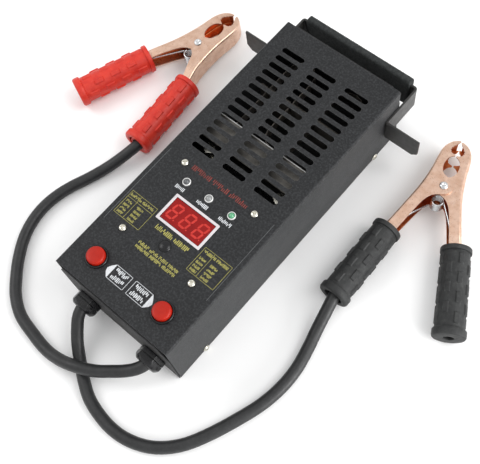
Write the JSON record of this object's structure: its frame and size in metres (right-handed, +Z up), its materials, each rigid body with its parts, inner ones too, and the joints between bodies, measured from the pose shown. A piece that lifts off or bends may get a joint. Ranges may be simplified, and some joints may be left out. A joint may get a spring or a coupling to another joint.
{
  "type": "battery tester",
  "caption": "Metal-cased battery load tester with a digital display, push buttons, a carrying bracket and two cabled crocodile clamps.",
  "frame": {"origin": "middle of the case's underside, on the surface that the tester lies on", "axes": "+Z up; +Y along the case, from the cable glands to the carrying bracket; +X to the right seen from the gland end"},
  "size_m": [0.4059, 0.3665, 0.0712],
  "materials": {
    "cover_paint": "satin charcoal powder coat",
    "tray_paint": "satin grey powder coat",
    "bracket_paint": "satin grey powder coat",
    "grip_foam": "closed-cell black foam",
    "screw_steel": "bright nickel plate",
    "zinc_steel": "bright zinc plate",
    "board_green": "green glass-fibre board",
    "black_plastic": "moulded black plastic",
    "white_plastic": "moulded off-white plastic",
    "red_window": "clear red filter",
    "lens_dark": "smoked lens, unlit",
    "lens_grey": "clear lens, unlit",
    "lens_green": "green lens",
    "button_red": "moulded red plastic",
    "ceramic_board": "pale heat-proof board",
    "resistance_strip": "dull resistance alloy",
    "cable_rubber": "matte dark grey sheath",
    "copper_plate": "copper-plated steel",
    "sleeve_red": "soft red vinyl",
    "sleeve_black": "soft black vinyl"
  },
  "bodies": {
    "tester": {"top_cover": "cover_paint", "base_tray": "tray_paint", "carry_bracket": "bracket_paint", "bracket_grip": "grip_foam", "face_screw_1": "screw_steel", "face_screw_2": "screw_steel", "face_screw_3": "screw_steel", "face_screw_4": "screw_steel", "side_screw_1": "screw_steel", "side_screw_2": "screw_steel", "side_screw_3": "screw_steel", "side_screw_4": "screw_steel", "terminal_bolt_left": "screw_steel", "terminal_bolt_right": "screw_steel", "board_spacer_1": "zinc_steel", "board_spacer_2": "zinc_steel", "board_spacer_3": "zinc_steel", "board_spacer_4": "zinc_steel", "led_ring_left": "zinc_steel", "led_ring_middle": "zinc_steel", "led_ring_right": "zinc_steel", "button_spring_left": "zinc_steel", "button_spring_right": "zinc_steel", "heat_shield": "zinc_steel", "red_clamp_rivet": "zinc_steel", "black_clamp_rivet": "zinc_steel", "red_clamp_spring": "zinc_steel", "black_clamp_spring": "zinc_steel", "circuit_board": "board_green", "display_module": "black_plastic", "button_bezel_left": "black_plastic", "button_bezel_right": "black_plastic", "hole_plug": "black_plastic", "terminal_bar": "black_plastic", "load_relay": "black_plastic", "gland_body_black": "black_plastic", "gland_nut_black": "black_plastic", "gland_body_red": "black_plastic", "gland_nut_red": "black_plastic", "display_bezel": "white_plastic", "display_window": "red_window", "led_lens_left": "lens_dark", "led_lens_middle": "lens_grey", "led_lens_right": "lens_green", "load_support": "ceramic_board", "load_ribbon": "resistance_strip", "cable_black": "cable_rubber", "cable_red": "cable_rubber", "inner_lead_black": "cable_rubber", "inner_lead_red": "cable_rubber", "red_clamp_cable_jaw": "copper_plate", "black_clamp_cable_jaw": "copper_plate", "red_clamp_cable_sleeve": "sleeve_red", "black_clamp_cable_sleeve": "sleeve_black"},
    "button_left": {"button_cap_left": "button_red"},
    "button_right": {"button_cap_right": "button_red"},
    "red_clamp_jaw": {"red_clamp_free_jaw": "copper_plate", "red_clamp_free_sleeve": "sleeve_red"},
    "black_clamp_jaw": {"black_clamp_free_jaw": "copper_plate", "black_clamp_free_sleeve": "sleeve_black"}
  },
  "joints": [
    {"name": "press_left", "type": "slide", "parent": "tester", "child": "button_left", "axis": [0, 0, -1], "range_m": [0, 0.0025], "stiffness_N_per_m": 300, "springref_m": -0.002, "deforming": ["button_spring_left"]},
    {"name": "press_right", "type": "slide", "parent": "tester", "child": "button_right", "axis": [0, 0, -1], "range_m": [0, 0.0025], "stiffness_N_per_m": 300, "springref_m": -0.002, "deforming": ["button_spring_right"]},
    {"name": "open_red_clamp", "type": "hinge", "parent": "tester", "child": "red_clamp_jaw", "pos_m": [-0.1298, 0.0947, 0.0132], "axis": [0, 0, 1], "range_deg": [0, 26], "stiffness_Nm_per_rad": 2, "springref_deg": -28.65, "deforming": ["red_clamp_spring"]},
    {"name": "open_black_clamp", "type": "hinge", "parent": "tester", "child": "black_clamp_jaw", "pos_m": [0.1223, 0.1106, 0.0132], "axis": [0, 0, -1], "range_deg": [0, 28], "stiffness_Nm_per_rad": 2, "springref_deg": -28.65, "deforming": ["black_clamp_spring"]}
  ]
}
